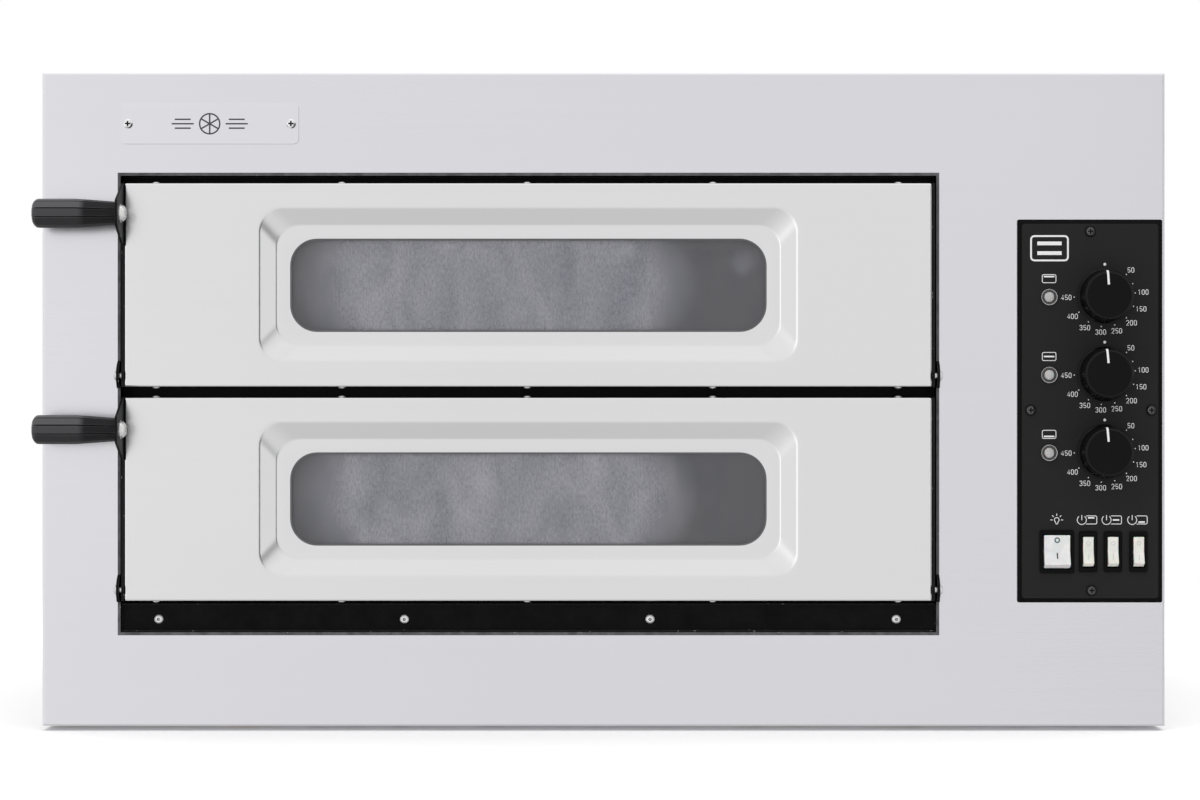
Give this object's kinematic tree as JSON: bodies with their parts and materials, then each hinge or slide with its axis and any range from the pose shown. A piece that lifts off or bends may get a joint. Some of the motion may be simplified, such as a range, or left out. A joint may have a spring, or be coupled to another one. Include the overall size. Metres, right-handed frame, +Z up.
{
  "type": "countertop pizza oven",
  "caption": "Free-standing twin-deck electric pizza oven with drop-down windowed doors, side grips, dial thermostats, pilot lamps and rocker switches.",
  "frame": {"origin": "middle of the footprint of the whole object, on the surface it stands on", "axes": "+X to the right seen from the front, -Y out of the front towards the user, +Z up"},
  "size_m": [0.9198, 0.69, 0.536],
  "materials": {
    "stainless": "satin stainless sheet",
    "black_enamel": "black heat-resistant enamel, half matt",
    "aluminised": "spangled aluminised sheet",
    "bright_steel": "bright zinc or nickel plate",
    "black_screw": "blackened steel",
    "firebrick": "refractory stone, matt",
    "mineral_wool": "mineral wool",
    "element_steel": "heat-tinted tube",
    "rubber_black": "matt",
    "silicone_seal": "matt heat-resistant braid",
    "door_glass": "tinted ceramic glass",
    "lamp_glass": "clear, slightly frosted",
    "bulb_glass": "frosted",
    "grip_plastic": "grained thermoset",
    "knob_plastic": "fine-grained thermoset",
    "plate_plastic": "smooth satin black",
    "switch_black": "satin",
    "switch_white": "milky translucent",
    "lens_plastic": "milky",
    "porcelain": "unglazed",
    "wire_sleeve": "glass-fibre sleeve",
    "copper_tube": "drawn copper",
    "grey_nylon": "moulded"
  },
  "bodies": {
    "oven_body": {"front_panel": "stainless", "left_side_panel": "stainless", "right_side_panel": "stainless", "top_cover": "stainless", "rear_panel": "stainless", "base_pan": "aluminised", "feet": "rubber_black", "partition_wall": "aluminised", "casing_screws": "bright_steel", "name_plate": "stainless", "mouth_frame": "black_enamel", "hinge_pins": "bright_steel", "sill_strip": "black_enamel", "sill_screws": "bright_steel", "stone_slabs": "firebrick", "heating_elements": "element_steel", "insulation": "mineral_wool", "lamp_holders": "porcelain", "lamp_glasses": "lamp_glass", "lamp_bulbs": "bulb_glass", "steam_vent_tubes": "stainless", "upper_chamber_liner": "aluminised", "lower_chamber_liner": "aluminised", "control_plate": "plate_plastic", "control_plate_screws": "black_screw", "thermostats": "porcelain", "thermostat_capillaries": "copper_tube", "pilot_light_bezels": "bright_steel", "pilot_light_lenses": "lens_plastic", "light_switch_housing": "switch_black", "zone_switch_housings": "switch_black", "terminal_block": "porcelain", "inner_wiring": "wire_sleeve", "cable_gland": "grey_nylon"},
    "upper_door": {"upper_door_skin": "stainless", "upper_door_tray": "aluminised", "upper_door_side_plates": "black_enamel", "upper_door_glass": "door_glass", "upper_door_glass_seal": "silicone_seal", "upper_door_grip": "grip_plastic", "upper_door_grip_bolt": "bright_steel", "upper_door_rivets": "bright_steel"},
    "lower_door": {"lower_door_skin": "stainless", "lower_door_tray": "aluminised", "lower_door_side_plates": "black_enamel", "lower_door_glass": "door_glass", "lower_door_glass_seal": "silicone_seal", "lower_door_grip": "grip_plastic", "lower_door_grip_bolt": "bright_steel", "lower_door_rivets": "bright_steel"},
    "top_dial": {"top_knob": "knob_plastic", "top_spindle": "bright_steel"},
    "middle_dial": {"middle_knob": "knob_plastic", "middle_spindle": "bright_steel"},
    "bottom_dial": {"bottom_knob": "knob_plastic", "bottom_spindle": "bright_steel"},
    "light_switch": {"light_rocker": "switch_white"},
    "top_zone_switch": {"top_zone_rocker": "switch_white"},
    "middle_zone_switch": {"middle_zone_rocker": "switch_white"},
    "bottom_zone_switch": {"bottom_zone_rocker": "switch_white"}
  },
  "joints": [
    {"name": "lower_door_hinge", "type": "hinge", "parent": "oven_body", "child": "lower_door", "pos_m": [-0.0612, -0.307, 0.1153], "axis": [1, 0, 0], "range_deg": [0, 90]},
    {"name": "upper_door_hinge", "type": "hinge", "parent": "oven_body", "child": "upper_door", "pos_m": [-0.0612, -0.307, 0.2893], "axis": [1, 0, 0], "range_deg": [0, 90]},
    {"name": "bottom_dial_turn", "type": "hinge", "parent": "oven_body", "child": "bottom_dial", "pos_m": [0.4079, -0.312, 0.22745], "axis": [0, 1, 0], "range_deg": [0, 268]},
    {"name": "middle_dial_turn", "type": "hinge", "parent": "oven_body", "child": "middle_dial", "pos_m": [0.4079, -0.312, 0.2908], "axis": [0, 1, 0], "range_deg": [0, 268]},
    {"name": "top_dial_turn", "type": "hinge", "parent": "oven_body", "child": "top_dial", "pos_m": [0.4079, -0.312, 0.35415], "axis": [0, 1, 0], "range_deg": [0, 268]},
    {"name": "light_switch_rock", "type": "hinge", "parent": "oven_body", "child": "light_switch", "pos_m": [0.3688, -0.3018, 0.1462], "axis": [1, 0, 0], "range_deg": [0, 20]},
    {"name": "top_zone_switch_rock", "type": "hinge", "parent": "oven_body", "child": "top_zone_switch", "pos_m": [0.3942, -0.30242, 0.1462], "axis": [1, 0, 0], "range_deg": [0, 20]},
    {"name": "middle_zone_switch_rock", "type": "hinge", "parent": "oven_body", "child": "middle_zone_switch", "pos_m": [0.4143, -0.30242, 0.1462], "axis": [1, 0, 0], "range_deg": [0, 20]},
    {"name": "bottom_zone_switch_rock", "type": "hinge", "parent": "oven_body", "child": "bottom_zone_switch", "pos_m": [0.4352, -0.30242, 0.1462], "axis": [1, 0, 0], "range_deg": [0, 20]}
  ]
}
